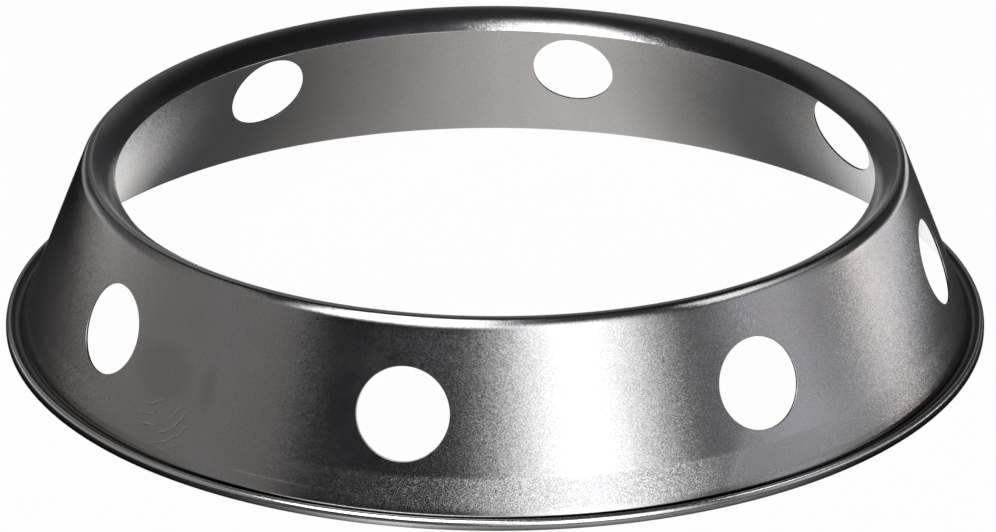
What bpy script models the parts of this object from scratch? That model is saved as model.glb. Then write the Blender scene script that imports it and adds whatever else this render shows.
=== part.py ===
"""A wok ring: one pressed ring of sheet steel that steadies a round-bottomed pan over a burner.

The ring stands on z = 0 with its wide foot down and its axis on Z. Its section is drawn as the
line of the outer face, spun round the axis and thickened inwards, and the vents are then punched
square to the sloping wall. All lengths are in metres and all angles in radians.
"""

from math import cos, pi, radians, sin, tan

import bpy
from mathutils import Matrix, Vector

# Overall sizes
FOOT_RADIUS = 0.1238
HEIGHT = 0.0439
SHEET = 0.0006

# Foot: a turned-down edge, a convex bead and a concave fillet up into the wall
EDGE_DROP = 0.0009
BEAD_INSIDE_RADIUS = 0.0008
BEAD_TURN = radians(60.0)
FILLET_INSIDE_RADIUS = 0.0008

# Wall: a cone, pressed out a little more near the foot
WALL_SLOPE = radians(21.8)
FLARE_HEIGHT = 0.0096
FLARE_EXTRA_SLOPE = radians(1.0)

# Lip: a soft shoulder out of the wall, a tight bend over the top, then a convex seat down into the opening
SHOULDER_INSIDE_RADIUS = 0.0052
SHOULDER_SLOPE = radians(45.0)
BEND_INSIDE_RADIUS = 0.0011
SEAT_START_FALL = radians(25.0)
SEAT_END_FALL = radians(56.0)
SEAT_LENGTH = 0.0073

# Vents
VENT_COUNT = 8
VENT_DIAMETER = 0.0220
VENT_CENTRE_HEIGHT = 0.0228
PUNCH_REACH = 0.0060

# Smoothness of the round forms
RING_STEPS = 96
VENT_STEPS = 32
SHOULDER_STEPS = 3
BEND_OUTER_STEPS = 3
BEND_INNER_STEPS = 2
SEAT_STEPS = 4
BEAD_STEPS = 5
FILLET_STEPS = 3
SHARP_ANGLE = radians(35.0)

# Satin plated steel
STEEL_COLOUR = (0.42, 0.42, 0.43, 1.0)
STEEL_ROUGHNESS = 0.3
STEEL_METALLIC = 1.0


def clear_scene():
    """Remove every object that the scene holds."""
    for old in list(bpy.data.objects):
        bpy.data.objects.remove(old, do_unlink=True)


def make_collection(name):
    """Return a new collection linked to the scene."""
    collection = bpy.data.collections.new(name)
    bpy.context.scene.collection.children.link(collection)
    return collection


def make_steel():
    """Return the plated steel's material."""
    steel = bpy.data.materials.new("satin_plated_steel")
    steel.use_nodes = True
    shader = steel.node_tree.nodes["Principled BSDF"]
    shader.inputs["Base Color"].default_value = STEEL_COLOUR
    shader.inputs["Roughness"].default_value = STEEL_ROUGHNESS
    shader.inputs["Metallic"].default_value = STEEL_METALLIC
    return steel


def arc_points(centre, radius, start, end, steps):
    """Return points on an arc after its first one, as (radius from the axis, height)."""
    angles = [start + (end - start) * step / steps for step in range(1, steps + 1)]
    return [(centre[0] + radius * cos(angle), centre[1] + radius * sin(angle)) for angle in angles]


def foot_points():
    """Return the foot's outer face, from the floor up to the start of the flare."""
    bead_radius = BEAD_INSIDE_RADIUS + SHEET
    bead_centre = (FOOT_RADIUS - bead_radius, EDGE_DROP)
    bead_end = pi / 2 + BEAD_TURN
    points = [(FOOT_RADIUS, 0.0), (FOOT_RADIUS, EDGE_DROP)]
    points += arc_points(bead_centre, bead_radius, 0.0, bead_end, BEAD_STEPS)

    # The fillet's arc meets the bead's arc where both have the same slope
    reach = bead_radius + FILLET_INSIDE_RADIUS
    fillet_centre = (bead_centre[0] + reach * cos(bead_end), bead_centre[1] + reach * sin(bead_end))
    flare_slope = WALL_SLOPE + FLARE_EXTRA_SLOPE
    points += arc_points(fillet_centre, FILLET_INSIDE_RADIUS, bead_end - pi, flare_slope - pi, FILLET_STEPS)
    return points


def wall_radius(height):
    """Return the radius of the wall's outer face at a height above the foot's fillet."""
    fillet_radius, fillet_height = foot_points()[-1]
    flare_top = max(FLARE_HEIGHT, fillet_height)
    flared = min(height, flare_top) - fillet_height
    straight = height - fillet_height - flared
    return fillet_radius - flared * tan(WALL_SLOPE + FLARE_EXTRA_SLOPE) - straight * tan(WALL_SLOPE)


def lip_points():
    """Return the lip's outer face, from the top of the wall over the bend to the free edge."""
    shoulder_radius = SHOULDER_INSIDE_RADIUS + SHEET
    bend_radius = BEND_INSIDE_RADIUS + SHEET
    bend_height = HEIGHT - bend_radius

    # The shoulder's arc meets the bend's arc where both have the same slope
    tighter = shoulder_radius - bend_radius
    shoulder_height = bend_height - tighter * sin(SHOULDER_SLOPE)
    start_height = shoulder_height + shoulder_radius * sin(WALL_SLOPE)
    start_radius = wall_radius(start_height)
    shoulder_centre = (start_radius - shoulder_radius * cos(WALL_SLOPE), shoulder_height)
    bend_centre = (shoulder_centre[0] + tighter * cos(SHOULDER_SLOPE), bend_height)
    seat_start = pi / 2 + SEAT_START_FALL
    points = [(start_radius, start_height)]
    points += arc_points(shoulder_centre, shoulder_radius, WALL_SLOPE, SHOULDER_SLOPE, SHOULDER_STEPS)
    points += arc_points(bend_centre, bend_radius, SHOULDER_SLOPE, pi / 2, BEND_OUTER_STEPS)
    points += arc_points(bend_centre, bend_radius, pi / 2, seat_start, BEND_INNER_STEPS)

    # The seat is a wider arc that carries on from the bend in the same direction
    seat_radius = SEAT_LENGTH / (SEAT_END_FALL - SEAT_START_FALL)
    inward = seat_radius - bend_radius
    seat_centre = (bend_centre[0] - inward * cos(seat_start), bend_centre[1] - inward * sin(seat_start))
    seat_end = pi / 2 + SEAT_END_FALL
    points += arc_points(seat_centre, seat_radius, seat_start, seat_end, SEAT_STEPS)
    return points


def section_points():
    """Return the whole outer face, from the lip's free edge down to the floor."""
    foot = foot_points()
    flare_top = [(wall_radius(FLARE_HEIGHT), FLARE_HEIGHT)]
    upward = foot + flare_top + lip_points()
    return list(reversed(upward))


def make_ring_shell(name, collection):
    """Spin the section round Z and thicken it inwards into a closed sheet."""
    points = [(radius, 0.0, height) for radius, height in section_points()]
    edges = [(index, index + 1) for index in range(len(points) - 1)]
    mesh = bpy.data.meshes.new(name)
    mesh.from_pydata(points, edges, [])
    ring = bpy.data.objects.new(name, mesh)
    collection.objects.link(ring)

    spin = ring.modifiers.new("spin", "SCREW")
    spin.axis = "Z"
    spin.angle = 2 * pi
    spin.steps = RING_STEPS
    spin.render_steps = RING_STEPS
    spin.use_merge_vertices = True
    spin.merge_threshold = 0.00001
    spin.use_smooth_shade = True

    thicken = ring.modifiers.new("sheet", "SOLIDIFY")
    thicken.thickness = SHEET
    thicken.offset = -1.0
    thicken.use_even_offset = True
    thicken.use_rim = True
    return ring


def punch_matrix(azimuth):
    """Return the place of a punch whose own Z runs out through the wall, square to its slope."""
    normal = Vector((cos(WALL_SLOPE), 0.0, sin(WALL_SLOPE)))
    tangent = Vector((0.0, 1.0, 0.0))
    rising = normal.cross(tangent)
    axes = Matrix((tangent, rising, normal)).transposed().to_4x4()
    centre = Matrix.Translation((wall_radius(VENT_CENTRE_HEIGHT), 0.0, VENT_CENTRE_HEIGHT))
    return Matrix.Rotation(azimuth, 4, "Z") @ centre @ axes


def make_punches(collection):
    """Return one cutter for each vent, evenly spaced from the front of the ring."""
    punches = []
    for index in range(VENT_COUNT):
        azimuth = -pi / 2 + 2 * pi * index / VENT_COUNT
        bpy.ops.mesh.primitive_cylinder_add(
            vertices=VENT_STEPS, radius=VENT_DIAMETER / 2, depth=2 * PUNCH_REACH)
        punch = bpy.context.object
        punch.name = f"punch_{index + 1}"
        punch.matrix_world = punch_matrix(azimuth)
        punch.hide_render = True
        punch.display_type = "WIRE"
        for owner in list(punch.users_collection):
            owner.objects.unlink(punch)
        collection.objects.link(punch)
        punches.append(punch)
    return punches


def punch_vents(ring, punches):
    """Cut every vent through the wall."""
    for index, punch in enumerate(punches):
        cut = ring.modifiers.new(f"vent_{index + 1}", "BOOLEAN")
        cut.operation = "DIFFERENCE"
        cut.solver = "EXACT"
        cut.object = punch


def main():
    clear_scene()
    parts = make_collection("wok_ring")
    cutters = make_collection("wok_ring_cutters")
    ring = make_ring_shell("wok_ring", parts)
    ring.data.materials.append(make_steel())
    punch_vents(ring, make_punches(cutters))
    ring.data.shade_smooth()
    ring.data.set_sharp_from_angle(angle=SHARP_ANGLE)


main()
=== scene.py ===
"""A wok ring of satin plated steel on a white floor, under soft studio light.

All lengths are in metres. The ring repeats the part's section with finer steps, small rounded edges
and a finer bead at the foot. Every point has the exact direction of its surface, so reflections run
true. The steel mirrors studio gear that the camera doesn't see: a mat and a card whose glow is
painted light and shade, a lit box and a dome.
"""

from math import cos, pi, radians, sin, sqrt, tan

import bpy
from mathutils import Matrix, Vector


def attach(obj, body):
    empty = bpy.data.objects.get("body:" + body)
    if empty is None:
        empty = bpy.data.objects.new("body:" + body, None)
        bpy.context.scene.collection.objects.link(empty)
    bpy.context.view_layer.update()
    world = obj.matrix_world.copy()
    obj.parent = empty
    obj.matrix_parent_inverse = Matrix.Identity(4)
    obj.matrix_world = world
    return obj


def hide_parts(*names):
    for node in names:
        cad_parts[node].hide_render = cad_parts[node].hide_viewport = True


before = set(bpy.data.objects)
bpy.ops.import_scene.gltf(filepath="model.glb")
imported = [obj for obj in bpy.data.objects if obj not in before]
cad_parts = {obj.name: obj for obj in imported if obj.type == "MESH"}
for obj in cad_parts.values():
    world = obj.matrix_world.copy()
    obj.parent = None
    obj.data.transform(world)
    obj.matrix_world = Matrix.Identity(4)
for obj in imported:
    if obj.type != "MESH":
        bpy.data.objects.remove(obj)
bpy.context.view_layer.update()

# The part's own sizes; its plain bead and fillet only place the wall here
FOOT_RADIUS = 0.1238
HEIGHT = 0.0439
SHEET = 0.0006
EDGE_DROP = 0.0009
BEAD_RADIUS = 0.0014
BEAD_TURN = radians(60.0)
FILLET_RADIUS = 0.0008
WALL_SLOPE = radians(21.8)
FLARE_HEIGHT = 0.0096
FLARE_SLOPE = radians(22.8)
SHOULDER_RADIUS = 0.0058
SHOULDER_SLOPE = radians(45.0)
BEND_RADIUS = 0.0017
SEAT_START = radians(115.0)
SEAT_END = radians(146.0)
SEAT_LENGTH = 0.0073
VENT_COUNT = 8
VENT_RADIUS = 0.0110
VENT_HEIGHT = 0.0228

# Fine sizes of the visual piece; the bead's arcs are (radius, direction at the end, steps)
RIM_ROUNDING = 0.00012
VENT_ROUNDING = 0.00018
VENT_ROUNDING_INSIDE = 0.00006
EDGE_TOP = 0.00085
BEAD_ARCS = (
    (0.0024, radians(20.0), 5),
    (0.0015, radians(50.0), 7),
    (0.00065, radians(150.0), 9),
)
HOLLOW_RADIUS = 0.0013
CREASE = 0.0005
BAND_TOP = 0.0366

# Steps of the mesh: round the ring, round and up each vent's patch, and along each stretch of the section
SECTOR_STEPS = 48
RING_STEPS = SECTOR_STEPS * VENT_COUNT
PATCH_STEPS = 20
BAND_STEPS = 20
SHORT_STEPS = 2
STRAIGHT_STEPS = 4
HOLLOW_STEPS = 10
SHOULDER_STEPS = 8
BEND_STEPS = 14
SEAT_STEPS = 12
ROUNDING_STEPS = 3
VENT_ROUNDING_STEPS = 4
VENT_RING_SHARES = (0.45, 0.22, 0.10, 0.035, 0.0)
SLIDE_ROUNDS = 12

# The steel's grain and smudges. Four edges of a soft window are (none, full, full, none), and two are
# (none, full). Turns are in degrees round from the camera, and a noise is (scale, detail, roughness).
OUTSIDE_FACING = (-0.01, 0.01)
GRAIN_SCALE = 8500.0
GRAIN_LIP = 0.06
GRAIN_WALL = 0.058
GRAIN_BAND = 0.13
GRAIN_HEIGHTS = (0.0016, 0.0028, 0.0400, 0.0418)
WAVE_NOISE = (90.0, 2.0, 0.5)
WAVE_DEPTH = 0.00005
SMUDGE_NOISE = (55.0, 6.0, 0.65)
SMUDGE_LEVELS = (0.3, 0.7)
BLOTCH_NOISE = (24.0, 4.0, 0.6)
FLECK_NOISE = (3600.0, 1.0, 0.5)
FLECK_STOPS = ((0.3, (0.80, 0.80, 0.80, 1.0)), (0.7, (1.0, 1.0, 1.0, 1.0)))
STEEL_ROUGHNESS = (0.13, 0.18)
STEEL_STOPS = (
    (0.30, (0.52, 0.505, 0.49, 1.0)),
    (0.55, (0.555, 0.55, 0.555, 1.0)),
    (0.75, (0.58, 0.575, 0.59, 1.0)),
)
BAND_HEIGHTS = (0.0022, 0.0034, 0.0092, 0.0102)
BAND_TURNS = (-20, 10, 36, 62)
BAND_ELSEWHERE = 0.15
BAND_ROUGHNESS = 0.05

# Marks on the wall. A spot is (turn, height), and an oval is (across, up, half width, half height,
# softness) in millimetres from its spot. A mark's colour comes with its strength.
WALL_REACH = 0.113
MILLIMETRES = 1000.0
RUB_SPOT = (-43.0, 0.0085)
RUB_CENTRE = (-7.0, 13.5)
RUB_SPACING = 2.3
RUB_WANDER = 6.0
RUB_LIGHT = (0.62, 0.72, 0.76, 0.86)
RUB_DARK = (0.78, 0.86, 0.92, 1.0)
RUB_OVAL = (1.0, 1.0, 7.5, 6.0, 0.35)
TEAR_NOISE = (260.0, 2.0, 0.6)
TEAR_LEVELS = (0.45, 0.54)
# Painted shade: darker ovals beside and above the strokes and in a dent's place, and dark lines between
# the strokes
SHADE_OVAL = (-3.0, 12.5, 9.5, 6.5, 0.35)
SHADE_DEPTH = 0.36
DENT_SHADE_OVAL = (12.0, 12.5, 2.2, 4.5, 0.6)
DENT_SHADE_DEPTH = 0.4
WIPED_SPOT = (35.0, 0.0085)
WIPED_OVAL = (0.0, 0.0, 20.0, 9.0, 0.6)
WIPED_EDGE = (-12.5, -9.0)
WIPED_LEAN = -0.5
WIPED_WANDER = 4.0
WIPED_ROUGHNESS = 0.08
SHORT_SPOT = (33.5, 0.0375)
SHORT_OVAL = (0.0, 0.0, 4.0, 5.0, 0.5)
SHORT_STRETCH = (2.2, 0.5)
SHORT_NOISE = (1.0, 2.0, 0.5)
SHORT_LEVELS = (0.52, 0.62)
# A painted sparkle: a dotted line of bright grains low on the flare, just left of the front
DOTS_HEIGHT = 0.0047
DOTS_WIDTH = (0.0003, 0.0001)
DOTS_SIZES = (0.35, 0.6)
DOTS_TURNS = (-34, -28, -18, -12)
# The light rub strokes and the painted sparkle line share this bright colour
BRIGHT_MARK = (0.5, (0.85, 0.84, 0.83, 1.0))
WIPED_MARK = (0.4, (0.66, 0.655, 0.68, 1.0))
SHADE_MARK = (0.5, (0.2, 0.19, 0.18, 1.0))

# At the foot: brown, a painted highlight and painted shadow; an inset is the way in from the foot's outer
# edge
# Brown, darker steel low on the flare toward both sides
FLARE_BROWN_MARK = (0.55, (0.17, 0.13, 0.095, 1.0))
FLARE_BROWN_HEIGHTS = (0.0040, 0.0030)
FLARE_BROWN_ASIDE = (0.06, 0.11)
FLARE_BROWN_INSETS = (0.0032, 0.0036)
# Painted highlight: brighter steel along the bead's crest, all round the foot
BEAD_HIGHLIGHT_MARK = (0.75, (0.93, 0.925, 0.92, 1.0))
BEAD_HIGHLIGHT_HEIGHTS = (0.0013, 0.0018, 0.0028, 0.0034)
BEAD_HIGHLIGHT_INSETS = (0.0013, 0.0011)
# Painted shadow: a black line in the hollow between the bead and the flare, fainter toward the sides
HOLLOW_SHADOW_MARK = (1.0, (0.004, 0.004, 0.004, 1.0))
HOLLOW_SHADOW_HEIGHTS = (0.0028, 0.0026)
HOLLOW_SHADOW_INSETS = (0.00130, 0.00155, 0.00393, 0.00408)
HOLLOW_SHADOW_ASIDE = (0.06, 0.10)
HOLLOW_SHADOW_THINNER = -0.35

# The camera, and the way round from the front vent to it
CAMERA_TURN = radians(11.06)
CAMERA_PLACE = (0.00072, -1.0741, 0.4873)
CAMERA_FALL = radians(23.876)
CAMERA_ROLL = radians(0.0753)
CAMERA_LENS = 167.63
CAMERA_SENSOR = 36.0

# The floor and the backdrop
FLOOR_RADIUS = 3.0
FLOOR_COLOUR = (0.87, 0.86, 0.855, 1.0)
FLOOR_WHITE_SHARE = 0.975
WHITE = (1.0, 1.0, 1.0, 1.0)

# How far a warm or a cool grey's green and blue move for each share of warmth
WARM_GREEN = -0.1
COOL_GREEN = 0.4
COOL_BLUE = -1.6

# The mat's glow is painted light and shade of the floor, seen only in the steel
# The mat, as (degrees round from the camera, level, warmth), or as (radius, level) beyond the ring
MAT_SIZE = 4.0
MAT_LIFT = 0.00003
MAT_LIGHT_INSIDE = (
    (-180, 0.68, 0.035), (-172, 0.51, 0.04), (-165, 0.36, 0.04), (-156, 0.215, 0.03), (-147, 0.11, 0.0),
    (-140, 0.09, -0.02), (-135, 0.18, -0.02), (-131, 0.65, 0.0), (-126, 1.4, 0.0), (-112, 1.3, 0.0),
    (112, 1.3, 0.0), (124, 1.3, 0.0), (130, 0.78, 0.0), (136, 0.3, 0.0), (141, 0.14, 0.0),
    (147, 0.16, 0.0), (152, 0.3, 0.03), (158, 0.5, 0.045), (165, 0.76, 0.02), (172, 0.82, 0.015),
    (180, 0.7, 0.035),
)
MAT_INSIDE_END = (0.1215, 0.1225)
MAT_SHEAR = 20.0
MAT_SHEAR_REACH = 0.114
MAT_SHEAR_DEPTH = 0.03
MAT_LIGHT_RIM = (
    (-180, 0.02, 0.0), (-40, 0.02, 0.0), (-30, 0.07, 0.0), (-23, 0.3, 0.0), (-16, 0.8, 0.0),
    (-10.5, 1.4, 0.0), (-5, 0.7, 0.0), (0.6, 0.45, 0.0), (12, 0.6, 0.0), (20, 0.4, 0.0),
    (28, 0.35, 0.0), (34, 0.22, 0.0), (39, 0.1, 0.0), (45, 0.03, 0.0), (180, 0.02, 0.0),
)
MAT_RIM_START = (0.1238, 0.1262)
MAT_RIM_SHADOW = 0.35
MAT_RIM_END = (0.133, 0.127)
MAT_LIGHT_LEFT = (
    (0.124, 0.02), (0.14, 0.04), (0.17, 0.08), (0.21, 0.12), (0.28, 0.18), (0.36, 0.27), (0.5, 0.4),
)
MAT_LEFT_WARMTH = 0.02
MAT_LEFT_TURNS = (-128, -88)
MAT_SHADE_LEFT = 0.008
MAT_LIGHT_RIGHT = (
    (0.124, 0.04), (0.15, 0.08), (0.18, 0.13), (0.22, 0.27), (0.28, 0.5), (0.36, 0.8), (0.5, 1.1),
)
MAT_RIGHT_WARMTH = -0.02
MAT_RIGHT_TURNS = (132, 86)
MAT_SHADE_RIGHT = 0.04
MAT_SIDES = (-0.05, 0.05)
MAT_BEYOND = (0.25, 0.34)
MAT_OPEN_DEPTH = (-0.03, 0.03)
MAT_OPEN_ASIDE = (0.1175, 0.1215)

# The dome, from the floor up, as (degrees round from the camera, level, warmth). Heights are in degrees.
DOME_RADIUS = 2.9
DOME_EDGE = (
    (-180, 1.0, 0.0), (-176, 0.9, 0.0), (-171, 0.12, 0.0), (-160, 0.06, 0.0), (90, 0.36, -0.03),
    (97, 0.55, -0.02), (104, 1.5, 0.05), (111, 1.9, 0.08), (118, 1.0, 0.04), (125, 0.2, -0.02),
    (136, 0.15, -0.05), (162, 0.1, -0.05), (171, 0.12, -0.03), (176, 0.9, 0.0), (180, 1.0, 0.0),
)
DOME_LOW = (
    (-180, 0.3, 0.0), (-175, 0.16, 0.0), (-168, 0.08, 0.0), (-158, 0.08, 0.0), (-144, 0.05, 0.0),
    (-60, 0.06, -0.05), (-44, 0.015, -0.1), (-20, 0.012, -0.1), (-6, 0.04, -0.05), (44, 0.05, -0.03),
    (56, 0.17, -0.04), (64, 0.48, -0.04), (78, 0.68, -0.04), (88, 0.41, -0.03), (95, 0.36, -0.02),
    (104, 0.12, 0.0), (114, 0.05, -0.02), (145, 0.03, -0.05), (168, 0.06, -0.03), (174, 0.14, 0.0),
    (180, 0.3, 0.0),
)
DOME_HIGH = (
    (-180, 0.16, 0.0), (-155, 0.26, 0.0), (-138, 0.16, 0.0), (-124, 0.02, -0.05), (-60, 0.02, -0.05),
    (10, 0.08, -0.08), (40, 0.06, -0.08), (66, 0.02, -0.05), (130, 0.015, -0.05), (148, 0.05, 0.0),
    (162, 0.16, 0.0), (180, 0.16, 0.0),
)
DOME_TOP = (0.03, -0.05)
DOME_LOW_FROM = (1.5, 6.5)
DOME_HIGH_FROM = (19.0, 29.0)
DOME_TOP_FROM = (60.0, 78.0)

# The dome's soft boxes, as (turns, heights, level)
SOFT_BOXES = (
    ((-64, -46, -14, 10), (24, 38, 58, 80), 3.4),
    ((-7.5, 20, 22, 51), (-6, -2, 32, 48), 2.4),
)

# The left card's glow is painted light: the lit face of a grey card, seen only in the steel
# The card and the box beside the ring. Corners are (y, z), stops are (share along, level, warmth), and
# heights are (height, level, warmth) and act on the far half.
LEFT_ACROSS = -0.33
LEFT_CORNERS = (
    (-0.36, 0.0), (0.25, 0.0), (0.25, 0.09), (0.05, 0.23), (-0.1, 0.34), (-0.22, 0.24), (-0.36, 0.18),
)
LEFT_STOPS = (
    (0.0, 0.14, 0.02), (0.12, 0.22, 0.025), (0.3, 0.24, 0.02), (0.55, 0.235, 0.05), (0.8, 0.34, 0.0),
    (1.0, 0.34, 0.0),
)
LEFT_HEIGHTS = (
    (0.0, 0.42, 0.12), (0.006, 0.55, 0.1), (0.016, 1.3, 0.01), (0.035, 1.6, 0.0), (0.055, 1.35, 0.0),
    (0.07, 0.95, 0.04), (0.09, 0.5, 0.0), (0.12, 0.35, 0.0),
)
RIGHT_ACROSS = 0.26
RIGHT_CORNERS = (
    (0.03, 0.12), (-0.05, 0.14), (-0.2, 0.18), (-0.2, 0.31), (-0.1, 0.25), (-0.05, 0.18), (0.03, 0.14),
)
RIGHT_STOPS = (
    (0.0, 0.15, 0.0), (0.2, 0.25, 0.0), (0.35, 0.5, 0.0), (0.5, 0.95, 0.0), (0.65, 1.7, 0.0),
    (1.0, 1.6, 0.0),
)
RIGHT_HEIGHTS = ((0.0, 1.0, 0.0),)
CARD_FAR_HALF = (0.45, 0.75)


def arc(centre, radius, start, end, steps, side=1.0):
    """Return points with directions on an arc; side -1 turns the directions to the centre."""
    points = []
    for step in range(steps + 1):
        angle = start + (end - start) * step / steps
        spot = (centre[0] + radius * cos(angle), centre[1] + radius * sin(angle))
        points.append((spot[0], spot[1], side * cos(angle), side * sin(angle)))
    return points


def line(start, end, steps, slope):
    """Return points with one direction along a straight stretch."""
    points = []
    for step in range(steps + 1):
        share = step / steps
        r = start[0] + (end[0] - start[0]) * share
        z = start[1] + (end[1] - start[1]) * share
        points.append((r, z, cos(slope), sin(slope)))
    return points


def flare_start():
    """Return the radius and height of the flare's start, above the solids' bead and fillet."""
    turn = pi / 2 + BEAD_TURN
    reach = BEAD_RADIUS + FILLET_RADIUS
    centre = (FOOT_RADIUS - BEAD_RADIUS + reach * cos(turn), EDGE_DROP + reach * sin(turn))
    return centre[0] - FILLET_RADIUS * cos(FLARE_SLOPE), centre[1] - FILLET_RADIUS * sin(FLARE_SLOPE)


def wall_radius(height):
    """Return the radius of the wall's outer face at a height."""
    start_radius, start_height = flare_start()
    flared = min(height, FLARE_HEIGHT) - start_height
    straight = height - start_height - flared
    return start_radius - flared * tan(FLARE_SLOPE) - straight * tan(WALL_SLOPE)


def foot_face():
    """Return the foot's outer face: the edge, the bead, the hollow, and the flare up to its crease."""
    points = line((FOOT_RADIUS, RIM_ROUNDING), (FOOT_RADIUS, EDGE_TOP), SHORT_STEPS, 0.0)[:-1]

    # The bead has a slanting flank and a tight crest
    spot = (FOOT_RADIUS, EDGE_TOP)
    start = 0.0
    for radius, end, steps in BEAD_ARCS:
        centre = (spot[0] - radius * cos(start), spot[1] - radius * sin(start))
        points += arc(centre, radius, start, end, steps)[:-1]
        spot = (centre[0] + radius * cos(end), centre[1] + radius * sin(end))
        start = end

    # The bead's inner flank runs in just so far that the hollow ends on the flare's line
    turned = cos(FLARE_SLOPE) - cos(start) - (sin(start) - sin(FLARE_SLOPE)) * tan(FLARE_SLOPE)
    gap = spot[0] - wall_radius(spot[1]) - HOLLOW_RADIUS * turned
    fall = gap / (sin(start) - cos(start) * tan(FLARE_SLOPE))
    low = (spot[0] - fall * sin(start), spot[1] + fall * cos(start))
    points += line(spot, low, SHORT_STEPS, start)[:-1]
    hollow = (low[0] + HOLLOW_RADIUS * cos(start), low[1] + HOLLOW_RADIUS * sin(start))
    points += arc(hollow, HOLLOW_RADIUS, start - pi, FLARE_SLOPE - pi, HOLLOW_STEPS, -1.0)[:-1]
    flare = (hollow[0] - HOLLOW_RADIUS * cos(FLARE_SLOPE), hollow[1] - HOLLOW_RADIUS * sin(FLARE_SLOPE))
    high = FLARE_HEIGHT - CREASE
    points += line(flare, (wall_radius(high), high), STRAIGHT_STEPS, FLARE_SLOPE)

    # The crease has the direction midway between the flare's and the wall's
    middle = (WALL_SLOPE + FLARE_SLOPE) / 2
    points.append((wall_radius(FLARE_HEIGHT), FLARE_HEIGHT, cos(middle), sin(middle)))
    return points


def lip_face():
    """Return the lip's outer face, from the vented band over the bend to the seat's free edge."""
    bend_height = HEIGHT - BEND_RADIUS
    tighter = SHOULDER_RADIUS - BEND_RADIUS
    shoulder_height = bend_height - tighter * sin(SHOULDER_SLOPE)
    start_height = shoulder_height + SHOULDER_RADIUS * sin(WALL_SLOPE)
    start = (wall_radius(start_height), start_height)
    shoulder = (start[0] - SHOULDER_RADIUS * cos(WALL_SLOPE), shoulder_height)
    bend = (shoulder[0] + tighter * cos(SHOULDER_SLOPE), bend_height)
    points = line((wall_radius(BAND_TOP), BAND_TOP), start, STRAIGHT_STEPS, WALL_SLOPE)[1:-1]
    points += arc(shoulder, SHOULDER_RADIUS, WALL_SLOPE, SHOULDER_SLOPE, SHOULDER_STEPS)[:-1]
    points += arc(bend, BEND_RADIUS, SHOULDER_SLOPE, SEAT_START, BEND_STEPS)[:-1]

    seat_radius = SEAT_LENGTH / (SEAT_END - SEAT_START)
    inward = seat_radius - BEND_RADIUS
    seat = (bend[0] - inward * cos(SEAT_START), bend[1] - inward * sin(SEAT_START))
    seat_end = SEAT_END - RIM_ROUNDING / seat_radius
    return points + arc(seat, seat_radius, SEAT_START, seat_end, SEAT_STEPS)


def outer_face():
    """Return the outer face upward as (radius, height, direction out and up), and the band's end rows."""
    points = foot_face()
    first = len(points)
    low = FLARE_HEIGHT + CREASE
    points += line((wall_radius(low), low), (wall_radius(BAND_TOP), BAND_TOP), BAND_STEPS, WALL_SLOPE)
    last = len(points) - 1
    return points + lip_face(), first, last


def free_edge(outer, inner):
    """Return the rounded free edge between the ends of the two faces."""
    out = Vector((outer[2], outer[3]))
    ahead = Vector((-out.y, out.x))
    corners = (
        (Vector(outer[:2]) - out * RIM_ROUNDING, 0.0),
        (Vector(inner[:2]) + out * RIM_ROUNDING, pi / 2),
    )
    points = []
    for base, start in corners:
        for step in range(ROUNDING_STEPS + 1):
            angle = start + pi / 2 * step / ROUNDING_STEPS
            way = out * cos(angle) + ahead * sin(angle)
            spot = base + way * RIM_ROUNDING
            points.append((spot.x, spot.y, way.x, way.y))
    return points[1:-1]


def section():
    """Return the closed section, and the end rows of the vented band on both faces."""
    outer, first, last = outer_face()
    inner = [(r - SHEET * out, z - SHEET * up, -out, -up) for r, z, out, up in outer]
    back = list(reversed(inner))
    lip = free_edge(outer[-1], back[0])

    # The foot's rounded corners on the floor, from the outer one inward
    outer_corner = (FOOT_RADIUS - RIM_ROUNDING, RIM_ROUNDING)
    inner_corner = (FOOT_RADIUS - SHEET + RIM_ROUNDING, RIM_ROUNDING)
    base = arc(outer_corner, RIM_ROUNDING, 0.0, -pi / 2, ROUNDING_STEPS)[1:]
    base += arc(inner_corner, RIM_ROUNDING, -pi / 2, -pi, ROUNDING_STEPS)[:-1]
    points = outer + lip + back + list(reversed(base))
    turned = len(outer) + len(lip) + len(back) - 1
    return points, (first, last), (turned - first, turned - last)


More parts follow.
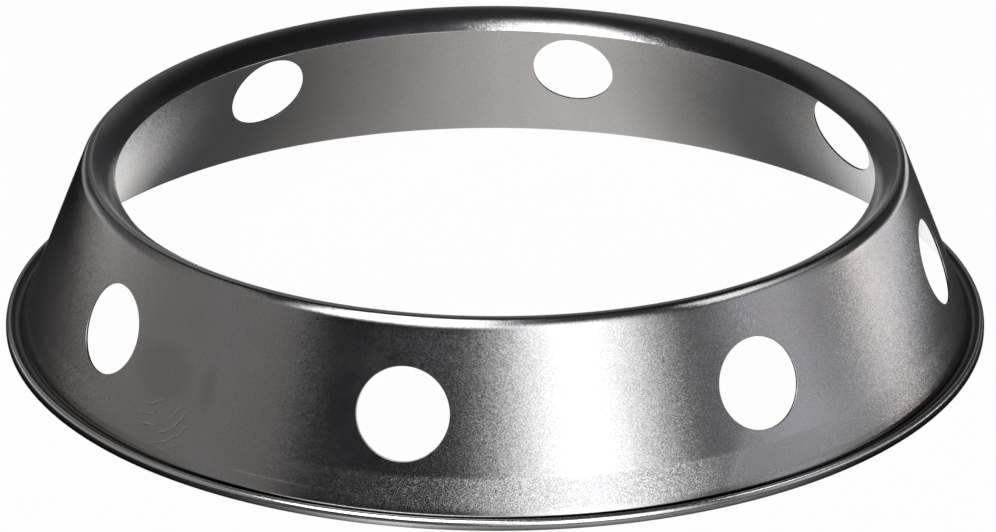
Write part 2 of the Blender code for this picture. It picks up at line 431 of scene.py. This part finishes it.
def build_ring():
    """Return the ring's points, directions and faces."""
    rows, outer_band, inner_band = section()
    count = len(rows)
    points = []
    normals = []
    for r, z, out, up in rows:
        for step in range(RING_STEPS):
            angle = -pi / 2 + 2 * pi * step / RING_STEPS
            points.append((r * cos(angle), r * sin(angle), z))
            normals.append((out * cos(angle), out * sin(angle), up))

    def index(row, step):
        return (row % count) * RING_STEPS + step % RING_STEPS

    # Everything but the patches round the vents
    half = PATCH_STEPS // 2
    patched = set()
    for vent in range(VENT_COUNT):
        middle = vent * SECTOR_STEPS
        patched.update((middle + step) % RING_STEPS for step in range(-half, half))
    band_rows = set(range(outer_band[0], outer_band[1])) | set(range(inner_band[1], inner_band[0]))
    faces = []
    for row in range(count):
        for step in range(RING_STEPS):
            if row in band_rows and step in patched:
                continue
            corners = ((row, step), (row, step + 1), (row + 1, step + 1), (row + 1, step))
            faces.append(tuple(index(*corner) for corner in corners))

    # Each patch's border runs from its lower left, counter-clockwise as seen from outside
    for vent in range(VENT_COUNT):
        middle = vent * SECTOR_STEPS
        angle = -pi / 2 + 2 * pi * vent / VENT_COUNT
        edges = []
        for (low, high), side in ((outer_band, 1.0), (inner_band, -1.0)):
            way = 1 if high > low else -1
            border = [index(low, middle + step) for step in range(-half, half)]
            border += [index(low + way * step, middle + half) for step in range(BAND_STEPS)]
            border += [index(high, middle - step) for step in range(-half, half)]
            border += [index(high - way * step, middle - half) for step in range(BAND_STEPS)]
            edges.append(vent_rings(points, normals, faces, border, angle, side))
        outer_edge, inner_edge = edges
        for spot in range(len(outer_edge)):
            after = (spot + 1) % len(outer_edge)
            faces.append((outer_edge[spot], inner_edge[spot], inner_edge[after], outer_edge[after]))
    return points, normals, faces


def on_wall(spot, axes, centre, side):
    """Slide a point along the vent's axis onto the wall's face, and return it with its direction."""
    depth = 0.0 if side > 0 else SHEET
    for _ in range(SLIDE_ROUNDS):
        place = centre + axes[0] * spot[0] + axes[1] * spot[1] - axes[2] * depth
        reach = sqrt(place.x ** 2 + place.y ** 2)
        target = wall_radius(FLARE_HEIGHT) - (place.z - FLARE_HEIGHT) * tan(WALL_SLOPE)
        if side < 0:
            target -= SHEET / cos(WALL_SLOPE)
        depth += (reach - target) * cos(WALL_SLOPE)
    out = Vector((place.x / reach * cos(WALL_SLOPE), place.y / reach * cos(WALL_SLOPE), sin(WALL_SLOPE)))
    return place, out * side


def vent_rings(points, normals, faces, border, angle, side):
    """Fill the wall from a patch's border to its vent's rounded edge, and return the edge's points."""
    out = Vector((cos(angle), sin(angle), 0.0))
    normal = out * cos(WALL_SLOPE) + Vector((0.0, 0.0, sin(WALL_SLOPE)))
    tangent = Vector((-sin(angle), cos(angle), 0.0))
    rising = normal.cross(tangent)
    axes = (tangent, rising, normal)
    centre = out * wall_radius(VENT_HEIGHT) + Vector((0.0, 0.0, VENT_HEIGHT))
    local = []
    for item in border:
        away = Vector(points[item]) - centre
        local.append((away.dot(tangent), away.dot(rising)))

    def add_ring(before, spots):
        ring = list(range(len(points), len(points) + len(spots)))
        for place, way in spots:
            points.append(tuple(place))
            normals.append(tuple(way))
        for spot in range(len(ring)):
            after = (spot + 1) % len(ring)
            face = (before[spot], before[after], ring[after], ring[spot])
            faces.append(face if side > 0 else tuple(reversed(face)))
        return ring

    # Rings on the wall, closer and closer to the vent
    rounding = VENT_ROUNDING if side > 0 else VENT_ROUNDING_INSIDE
    ring = border
    for share in VENT_RING_SHARES:
        spots = []
        for u, v in local:
            near = (VENT_RADIUS + rounding) / sqrt(u * u + v * v)
            scale = near + (1.0 - near) * share
            spots.append(on_wall((u * scale, v * scale), axes, centre, side))
        ring = add_ring(ring, spots)

    # Rings round the edge, down into the vent
    for step in range(1, VENT_ROUNDING_STEPS + 1):
        turn = pi / 2 * step / VENT_ROUNDING_STEPS
        sunk = normal * side * rounding * (1 - cos(turn))
        spots = []
        for u, v in local:
            reach = sqrt(u * u + v * v)
            away = (tangent * u + rising * v) / reach
            near = (VENT_RADIUS + rounding) / reach
            place, way = on_wall((u * near, v * near), axes, centre, side)
            turned = way * cos(turn) - away * sin(turn)
            spots.append((place - sunk - away * rounding * sin(turn), turned.normalized()))
        ring = add_ring(ring, spots)
    return ring


def make_ring():
    """Return the visual ring as one object with exact directions at its points."""
    points, normals, faces = build_ring()

    # Points under the vents' patches belong to no face
    used = sorted({item for face in faces for item in face})
    place = {item: spot for spot, item in enumerate(used)}
    points = [points[item] for item in used]
    normals = [normals[item] for item in used]
    faces = [tuple(place[item] for item in face) for face in faces]

    mesh = bpy.data.meshes.new("pressed_ring")
    mesh.from_pydata(points, [], faces)
    mesh.polygons.foreach_set("use_smooth", [True] * len(mesh.polygons))
    mesh.normals_split_custom_set_from_vertices(normals)
    mesh.update()
    ring = bpy.data.objects.new("pressed_ring", mesh)
    bpy.context.scene.collection.objects.link(ring)
    return ring


class Nodes:
    """A short way to lay out shader nodes."""

    def __init__(self, tree):
        self.tree = tree
        tree.nodes.clear()

    def add(self, kind, inputs=None, **settings):
        """Add a node and return it; an input is a value or another node's socket."""
        node = self.tree.nodes.new(kind)
        for name, value in settings.items():
            setattr(node, name, value)
        for name, value in (inputs or {}).items():
            self.set(node.inputs[name], value)
        return node

    def set(self, socket, value):
        if isinstance(value, bpy.types.NodeSocket):
            self.tree.links.new(value, socket)
        else:
            socket.default_value = value

    def math(self, operation, first, second=0.0, third=0.0):
        return self.add("ShaderNodeMath", {0: first, 1: second, 2: third}, operation=operation).outputs[0]

    def product(self, first, *others):
        for other in others:
            first = self.math("MULTIPLY", first, other)
        return first

    def length(self, first, second):
        """Return the length of a way along two axes."""
        squares = [self.math("MULTIPLY", value, value) for value in (first, second)]
        return self.math("SQRT", self.math("ADD", *squares))

    def vector(self, operation, first, second=(0.0, 0.0, 0.0)):
        node = self.add("ShaderNodeVectorMath", {0: first, 1: second}, operation=operation)
        return node.outputs["Vector"]

    def step(self, value, start, end):
        """Return a smooth step from 0 at start to 1 at end."""
        node = self.add("ShaderNodeMapRange", {"Value": value, "From Min": start, "From Max": end},
                        interpolation_type="SMOOTHSTEP")
        return node.outputs["Result"]

    def between(self, value, edges):
        """Return a soft window of four edges: none, full, full, none."""
        rise = self.step(value, edges[0], edges[1])
        fall = self.step(value, edges[3], edges[2])
        return self.math("MULTIPLY", rise, fall)

    def noise(self, place, scale, detail, roughness):
        inputs = {"Vector": place, "Scale": scale, "Detail": detail, "Roughness": roughness}
        return self.add("ShaderNodeTexNoise", inputs).outputs["Fac"]

    def mix(self, share, first, second, blend="MIX"):
        node = self.add("ShaderNodeMix", {"Factor": share}, data_type="RGBA", blend_type=blend)
        self.set(node.inputs[6], first)
        self.set(node.inputs[7], second)
        return node.outputs[2]

    def ramp(self, value, stops):
        """Return a colour ramp's colour, from (position, colour) stops."""
        node = self.add("ShaderNodeValToRGB", {"Fac": value})
        elements = node.color_ramp.elements
        while len(elements) > 1:
            elements.remove(elements[-1])
        elements[0].position = stops[0][0]
        elements[0].color = stops[0][1]
        for position, colour in stops[1:]:
            elements.new(position).color = colour
        return node.outputs["Color"]

    def glow(self, colour):
        """Let the surface give off plain light of a colour."""
        glow = self.add("ShaderNodeEmission", {"Color": colour})
        out = self.add("ShaderNodeOutputMaterial")
        self.set(out.inputs["Surface"], glow.outputs["Emission"])


def new_material(name):
    """Return a new material and its empty nodes."""
    material = bpy.data.materials.new(name)
    material.use_nodes = True
    return material, Nodes(material.node_tree)


def grey(level, warm=0.0):
    """Return a grey, a little warmer, or cooler toward violet."""
    if warm < 0:
        return (level, level * (1 + COOL_GREEN * warm), level * (1 + COOL_BLUE * warm), 1.0)
    return (level * (1 + warm), level * (1 + WARM_GREEN * warm), level * (1 - warm), 1.0)


def greys(stops):
    """Return (position, colour) stops from (position, level, warmth) stops."""
    return [(position, grey(level, warm)) for position, level, warm in stops]


def angle_share(degrees_round):
    """Return an angle round from the camera's side as a share of the whole turn."""
    return 0.5 + degrees_round / 360.0


def angle_shares(turns):
    """Return several angles as shares of the whole turn."""
    return [angle_share(turn) for turn in turns]


def from_camera_side(n, vector):
    """Return x, y and z of a place turned so that -y faces the camera."""
    inputs = {"Vector": vector, "Angle": -CAMERA_TURN}
    turned = n.add("ShaderNodeVectorRotate", inputs, rotation_type="Z_AXIS")
    return n.add("ShaderNodeSeparateXYZ", {"Vector": turned.outputs["Vector"]}).outputs


def round_share(n, x, y):
    """Return the way round, 0.5 toward the camera and growing to its right."""
    return n.math("MULTIPLY_ADD", n.math("ARCTAN2", x, n.math("MULTIPLY", y, -1.0)), 0.5 / pi, 0.5)


def round_ramp(n, turn, stops):
    """Return a ramp of greys over the way round, from (degrees, level, warmth) stops."""
    return n.ramp(turn, greys([(angle_share(degrees), level, warm) for degrees, level, warm in stops]))


class Spot:
    """Where a point of the steel is, as sockets that the marks are made from."""

    def __init__(self, n):
        self.place = n.add("ShaderNodeTexCoord").outputs["Object"]
        self.normal = n.add("ShaderNodeNewGeometry").outputs["Normal"]
        facing = n.add("ShaderNodeVectorMath", {0: self.place, 1: self.normal}, operation="DOT_PRODUCT")
        self.outside = n.step(facing.outputs["Value"], *OUTSIDE_FACING)
        self.x, self.y, self.z = from_camera_side(n, self.place)
        self.turn = round_share(n, self.x, self.y)

    def millimetres_from(self, n, mark):
        """Return the way across and up the wall from a mark's spot, in millimetres."""
        degrees_round, height = mark
        away = n.math("SUBTRACT", self.turn, angle_share(degrees_round))
        across = n.math("MULTIPLY", away, 2 * pi * WALL_REACH * MILLIMETRES)
        up = n.math("MULTIPLY", n.math("SUBTRACT", self.z, height), MILLIMETRES / cos(WALL_SLOPE))
        return across, up


def oval(n, across, up, shape):
    """Return a soft oval patch, 1 inside and 0 outside."""
    centre_across, centre_up, wide, tall, soft = shape
    a = n.math("DIVIDE", n.math("SUBTRACT", across, centre_across), wide)
    b = n.math("DIVIDE", n.math("SUBTRACT", up, centre_up), tall)
    return n.step(n.length(a, b), 1.0 + soft, 1.0 - soft)


def lay_marks_and_painted_light(n, colour, where, mark):
    """Return a colour with a mark, given as (strength, colour), laid over it."""
    strength, over = mark
    return n.mix(n.math("MULTIPLY", where, strength), colour, over)


def worn_band(n, spot):
    """Return where the flare round the foot is duller, most of all at the front and its right."""
    worn = n.between(spot.turn, angle_shares(BAND_TURNS))
    worn = n.math("MULTIPLY_ADD", worn, 1.0 - BAND_ELSEWHERE, BAND_ELSEWHERE)
    return n.product(n.between(spot.z, BAND_HEIGHTS), spot.outside, worn)


def grainy_normal(n, spot, cells, band):
    """Return the surface's direction: each small cell leans its own way, over a faint wave."""
    flat = n.between(spot.z, GRAIN_HEIGHTS)
    amount = n.math("MULTIPLY_ADD", flat, GRAIN_WALL, GRAIN_LIP)
    amount = n.math("MULTIPLY_ADD", band, GRAIN_BAND, amount)
    lean = n.vector("SUBTRACT", cells.outputs["Color"], (0.5, 0.5, 0.5))
    lean = n.add("ShaderNodeVectorMath", {0: lean, "Scale": amount}, operation="SCALE").outputs["Vector"]
    grainy = n.vector("NORMALIZE", n.vector("ADD", spot.normal, lean))
    wave = n.noise(spot.place, *WAVE_NOISE)
    inputs = {"Height": wave, "Strength": 1.0, "Distance": WAVE_DEPTH, "Normal": grainy}
    return n.add("ShaderNodeBump", inputs).outputs["Normal"]


def rub_strokes(n, spot, smudge):
    """Return the left's curved light strokes, and painted shade beside, above and between them."""
    across, up = spot.millimetres_from(n, RUB_SPOT)
    bend = n.length(n.math("SUBTRACT", across, RUB_CENTRE[0]), n.math("SUBTRACT", up, RUB_CENTRE[1]))
    bend = n.math("MULTIPLY_ADD", smudge, RUB_WANDER, bend)
    lines = n.math("FRACT", n.math("DIVIDE", bend, RUB_SPACING))
    tear = n.noise(spot.place, *TEAR_NOISE)
    broken = n.math("MULTIPLY", n.step(tear, *TEAR_LEVELS), oval(n, across, up, RUB_OVAL))
    strokes = n.math("MULTIPLY", n.between(lines, RUB_LIGHT), broken)
    stroke_gap_shade = n.math("MULTIPLY", n.between(lines, RUB_DARK), broken)
    shade = n.math("MULTIPLY", oval(n, across, up, SHADE_OVAL), SHADE_DEPTH)
    # Painted shade in a dent's place
    dent_shade = n.math("MULTIPLY", oval(n, across, up, DENT_SHADE_OVAL), DENT_SHADE_DEPTH)
    shade = n.math("MAXIMUM", n.math("MAXIMUM", shade, dent_shade), stroke_gap_shade)
    return strokes, n.math("MULTIPLY", shade, spot.outside)


def wiped_patch(n, spot, blotch):
    """Return the wiped patch at the right, with a ragged, leaning left side."""
    across, up = spot.millimetres_from(n, WIPED_SPOT)
    edge = n.math("MULTIPLY_ADD", up, WIPED_LEAN, across)
    edge = n.math("MULTIPLY_ADD", blotch, WIPED_WANDER, edge)
    return n.product(n.step(edge, *WIPED_EDGE), oval(n, across, up, WIPED_OVAL), spot.outside)


def short_strokes(n, spot):
    """Return the short upright strokes under the lip at the right."""
    across, up = spot.millimetres_from(n, SHORT_SPOT)
    ways = [n.math("MULTIPLY", way, stretch) for way, stretch in zip((across, up), SHORT_STRETCH)]
    comb = n.add("ShaderNodeCombineXYZ", {"X": ways[0], "Y": ways[1]}).outputs["Vector"]
    comb = n.noise(comb, *SHORT_NOISE)
    return n.math("MULTIPLY", n.step(comb, *SHORT_LEVELS), oval(n, across, up, SHORT_OVAL))


def painted_sparkle_line(n, spot, cells):
    """Return a painted sparkle: a dotted line of bright grains where the flare begins to turn."""
    away = n.math("ABSOLUTE", n.math("SUBTRACT", spot.z, DOTS_HEIGHT))
    dots = n.step(cells.outputs["Distance"], *DOTS_SIZES)
    return n.product(n.step(away, *DOTS_WIDTH), dots, n.between(spot.turn, angle_shares(DOTS_TURNS)))


def foot_colours_and_painted_light(n, spot, colour):
    """Return a colour with brown low on the flare's sides, a painted highlight on the bead, and painted
    shadow in its hollow.
    """
    aside = n.math("ABSOLUTE", spot.x)
    inset = n.math("SUBTRACT", FOOT_RADIUS, n.length(spot.x, spot.y))
    # Brown, darker steel low on the flare toward both sides
    flare_brown = n.product(n.step(spot.z, *FLARE_BROWN_HEIGHTS), n.step(aside, *FLARE_BROWN_ASIDE), spot.outside,
                        n.step(inset, *FLARE_BROWN_INSETS))
    colour = lay_marks_and_painted_light(n, colour, flare_brown, FLARE_BROWN_MARK)
    # Brighter steel on the bead's crest is a painted highlight
    bead_highlight = n.product(n.step(inset, *BEAD_HIGHLIGHT_INSETS), n.between(spot.z, BEAD_HIGHLIGHT_HEIGHTS), spot.outside)
    colour = lay_marks_and_painted_light(n, colour, bead_highlight, BEAD_HIGHLIGHT_MARK)
    # The black line in the hollow is painted shadow
    thinner = n.math("MULTIPLY_ADD", n.step(aside, *HOLLOW_SHADOW_ASIDE), HOLLOW_SHADOW_THINNER, 1.0)
    hollow_shadow = n.product(n.between(inset, HOLLOW_SHADOW_INSETS), n.step(spot.z, *HOLLOW_SHADOW_HEIGHTS), thinner)
    return lay_marks_and_painted_light(n, colour, hollow_shadow, HOLLOW_SHADOW_MARK)


def make_steel():
    """Return satin plated steel: fine grain, a duller band at the foot, smudges, marks, painted shade and
    highlights.
    """
    steel, n = new_material("satin_plated_steel_fine")
    spot = Spot(n)
    band = worn_band(n, spot)
    cells = n.add("ShaderNodeTexVoronoi", {"Vector": spot.place, "Scale": GRAIN_SCALE, "Randomness": 1.0})
    smudge = n.noise(spot.place, *SMUDGE_NOISE)
    blotch = n.noise(spot.place, *BLOTCH_NOISE)
    strokes, shade = rub_strokes(n, spot, smudge)
    wiped = wiped_patch(n, spot, blotch)
    marks = n.math("MULTIPLY", n.math("MAXIMUM", strokes, short_strokes(n, spot)), spot.outside)
    # The dotted line is a painted sparkle
    bright = n.math("MAXIMUM", marks, painted_sparkle_line(n, spot, cells))

    colour = n.ramp(blotch, STEEL_STOPS)
    flecks = n.ramp(n.noise(spot.place, *FLECK_NOISE), FLECK_STOPS)
    colour = n.mix(1.0, colour, flecks, "MULTIPLY")
    colour = lay_marks_and_painted_light(n, colour, bright, BRIGHT_MARK)
    colour = lay_marks_and_painted_light(n, colour, wiped, WIPED_MARK)
    # Painted shade beside, above and between the rub strokes
    colour = lay_marks_and_painted_light(n, colour, shade, SHADE_MARK)
    colour = foot_colours_and_painted_light(n, spot, colour)

    rough = n.add("ShaderNodeMapRange", {
        "Value": smudge, "From Min": SMUDGE_LEVELS[0], "From Max": SMUDGE_LEVELS[1],
        "To Min": STEEL_ROUGHNESS[0], "To Max": STEEL_ROUGHNESS[1],
    }).outputs["Result"]
    rough = n.math("MULTIPLY_ADD", band, BAND_ROUGHNESS, rough)
    rough = n.math("MULTIPLY_ADD", wiped, WIPED_ROUGHNESS, rough)

    shader = n.add("ShaderNodeBsdfPrincipled")
    shader.inputs["Metallic"].default_value = 1.0
    n.set(shader.inputs["Base Color"], colour)
    n.set(shader.inputs["Roughness"], rough)
    n.set(shader.inputs["Normal"], grainy_normal(n, spot, cells, band))
    out = n.add("ShaderNodeOutputMaterial")
    n.set(out.inputs["Surface"], shader.outputs["BSDF"])
    return steel


def hide_from_camera(piece):
    """Keep studio gear out of the picture; the steel still mirrors it."""
    piece.visible_camera = False
    piece.visible_shadow = False


def make_floor():
    """Lay the pale floor, which keeps a faint shadow of the ring."""
    bpy.ops.mesh.primitive_circle_add(vertices=96, radius=FLOOR_RADIUS, fill_type="NGON")
    floor = bpy.context.object
    floor.name = "floor"
    cover, n = new_material("pale_floor")
    shader = n.add("ShaderNodeBsdfDiffuse", {"Color": FLOOR_COLOUR})
    white = n.add("ShaderNodeEmission", {"Color": WHITE, "Strength": 1.0})
    path = n.add("ShaderNodeLightPath")
    seen = n.math("MAXIMUM", path.outputs["Is Camera Ray"], path.outputs["Is Glossy Ray"])
    seen = n.math("MAXIMUM", seen, path.outputs["Is Transmission Ray"])
    share = n.math("MULTIPLY", seen, FLOOR_WHITE_SHARE)
    surfaces = {0: share, 1: shader.outputs["BSDF"], 2: white.outputs["Emission"]}
    blend = n.add("ShaderNodeMixShader", surfaces)
    out = n.add("ShaderNodeOutputMaterial")
    n.set(out.inputs["Surface"], blend.outputs["Shader"])
    floor.data.materials.append(cover)


def mat_light_inside(n, turn, radius):
    """Return the mat's painted light and shade of the floor under the ring, sheared round toward both
    sides.
    """
    away = n.math("SUBTRACT", turn, 0.5)
    aside = n.math("SUBTRACT", 0.5, n.math("ABSOLUTE", away))
    depth = n.math("MINIMUM", n.math("SUBTRACT", MAT_SHEAR_REACH, radius), MAT_SHEAR_DEPTH)
    slip = n.product(aside, depth, -MAT_SHEAR)
    sheared = n.math("MULTIPLY_ADD", n.math("SIGN", away), slip, turn)
    return round_ramp(n, sheared, MAT_LIGHT_INSIDE)


def mat_light_outside(n, turn, radius, x, y):
    """Return the mat's glow round the ring: painted dark shade, lit patches at the rim, and open behind.
    """
    beyond = n.step(radius, *MAT_BEYOND)
    left = n.ramp(radius, greys([(reach, level, MAT_LEFT_WARMTH) for reach, level in MAT_LIGHT_LEFT]))
    shown = n.math("MAXIMUM", beyond, n.step(turn, *angle_shares(MAT_LEFT_TURNS)))
    left = n.mix(shown, grey(MAT_SHADE_LEFT), left)
    right = n.ramp(radius, greys([(reach, level, MAT_RIGHT_WARMTH) for reach, level in MAT_LIGHT_RIGHT]))
    shown = n.math("MAXIMUM", beyond, n.step(turn, *angle_shares(MAT_RIGHT_TURNS)))
    right = n.mix(shown, grey(MAT_SHADE_RIGHT), right)
    outside = n.mix(n.step(x, *MAT_SIDES), left, right)

    rim = n.mix(n.step(radius, *MAT_RIM_START), grey(MAT_RIM_SHADOW), grey(1.0))
    rim = n.mix(1.0, rim, round_ramp(n, turn, MAT_LIGHT_RIM), "MULTIPLY")
    outside = n.mix(n.step(radius, *MAT_RIM_END), outside, rim)

    beside = n.step(n.math("ABSOLUTE", x), *MAT_OPEN_ASIDE)
    behind = n.math("MULTIPLY", n.step(y, *MAT_OPEN_DEPTH), n.math("SUBTRACT", 1.0, beside))
    return n.mix(behind, outside, grey(1.0))


def make_light_mat():
    """Lay a glowing mat of painted floor light and shade, open behind the ring and paler inside it."""
    bpy.ops.mesh.primitive_plane_add(size=MAT_SIZE, location=(0.0, 0.0, MAT_LIFT))
    mat = bpy.context.object
    mat.name = "mat"
    paint, n = new_material("mat")
    x, y, _ = from_camera_side(n, n.add("ShaderNodeTexCoord").outputs["Object"])
    turn = round_share(n, x, y)
    radius = n.length(x, y)
    inside = mat_light_inside(n, turn, radius)
    outside = mat_light_outside(n, turn, radius, x, y)
    # The mat's glow is painted light and shade of the floor
    n.glow(n.mix(n.step(radius, *MAT_INSIDE_END), inside, outside))
    mat.data.materials.append(paint)
    mat.visible_diffuse = False
    hide_from_camera(mat)


def make_card(name, across, corners, stops, heights):
    """Stand a glowing card beside the ring, its glow painted along its length, and up its far half."""
    turn = Matrix.Rotation(CAMERA_TURN, 3, "Z")
    mesh = bpy.data.meshes.new(name)
    places = [tuple(turn @ Vector((across, y, z))) for y, z in corners]
    mesh.from_pydata(places, [], [tuple(range(len(corners)))])
    layer = mesh.uv_layers.new(name="along")
    reach = max(abs(y - corners[0][0]) for y, z in corners)
    for loop, (y, z) in zip(layer.data, corners):
        loop.uv = (abs(y - corners[0][0]) / reach, z)
    card = bpy.data.objects.new(name, mesh)
    bpy.context.scene.collection.objects.link(card)

    paint, n = new_material(name)
    along = n.add("ShaderNodeSeparateXYZ", {"Vector": n.add("ShaderNodeTexCoord").outputs["UV"]})
    level = n.ramp(along.outputs["X"], greys(stops))
    shade = n.ramp(along.outputs["Y"], greys(heights))
    shade = n.mix(n.step(along.outputs["X"], *CARD_FAR_HALF), grey(1.0), shade)
    n.glow(n.mix(1.0, level, shade, "MULTIPLY"))
    mesh.materials.append(paint)
    card.visible_diffuse = False
    hide_from_camera(card)


def make_dome():
    """Close the studio with a dark dome that holds two soft boxes."""
    bpy.ops.mesh.primitive_uv_sphere_add(segments=96, ring_count=48, radius=DOME_RADIUS)
    dome = bpy.context.object
    dome.name = "dome"
    paint, n = new_material("dome")
    x, y, z = from_camera_side(n, n.vector("NORMALIZE", n.add("ShaderNodeTexCoord").outputs["Object"]))
    turn = round_share(n, x, y)
    height = n.math("MULTIPLY", n.math("ARCSINE", z), 180.0 / pi)
    edge = round_ramp(n, turn, DOME_EDGE)
    colour = n.mix(n.step(height, *DOME_LOW_FROM), edge, round_ramp(n, turn, DOME_LOW))
    colour = n.mix(n.step(height, *DOME_HIGH_FROM), colour, round_ramp(n, turn, DOME_HIGH))
    colour = n.mix(n.step(height, *DOME_TOP_FROM), colour, grey(*DOME_TOP))
    for turns, heights, level in SOFT_BOXES:
        share = n.math("MULTIPLY", n.between(turn, angle_shares(turns)), n.between(height, heights))
        colour = n.mix(1.0, colour, n.mix(share, grey(0.0), grey(level)), "ADD")
    n.glow(colour)
    dome.data.materials.append(paint)
    hide_from_camera(dome)


def make_world():
    """Set the white backdrop."""
    world = bpy.data.worlds.new("backdrop")
    bpy.context.scene.world = world
    world.use_nodes = True
    n = Nodes(world.node_tree)
    back = n.add("ShaderNodeBackground", {"Color": WHITE, "Strength": 1.0})
    out = n.add("ShaderNodeOutputWorld")
    n.set(out.inputs["Surface"], back.outputs["Background"])


def make_camera():
    """Set the camera where the photograph's stood."""
    turn = Matrix.Rotation(CAMERA_TURN, 4, "Z")
    ahead = Vector((0.0, cos(CAMERA_FALL), -sin(CAMERA_FALL)))
    above = Vector((0.0, sin(CAMERA_FALL), cos(CAMERA_FALL)))
    right = Vector((1.0, 0.0, 0.0))
    across = right * cos(CAMERA_ROLL) + above * sin(CAMERA_ROLL)
    up = above * cos(CAMERA_ROLL) - right * sin(CAMERA_ROLL)
    axes = Matrix((across, up, -ahead)).transposed().to_4x4()
    data = bpy.data.cameras.new("camera")
    data.lens = CAMERA_LENS
    data.sensor_width = CAMERA_SENSOR
    data.clip_start = 0.05
    data.clip_end = 20.0
    camera = bpy.data.objects.new("camera", data)
    camera.matrix_world = turn @ Matrix.Translation(CAMERA_PLACE) @ axes
    bpy.context.scene.collection.objects.link(camera)
    bpy.context.scene.camera = camera


ring = make_ring()
ring.data.materials.append(make_steel())
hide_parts("wok_ring")
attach(ring, "root")
make_floor()
make_light_mat()
# The left card's glow is painted light, seen only in the steel
make_card("left_lit_card", LEFT_ACROSS, LEFT_CORNERS, LEFT_STOPS, LEFT_HEIGHTS)
make_card("right_box", RIGHT_ACROSS, RIGHT_CORNERS, RIGHT_STOPS, RIGHT_HEIGHTS)
make_dome()
make_world()
make_camera()
bpy.context.scene.view_settings.view_transform = "Standard"
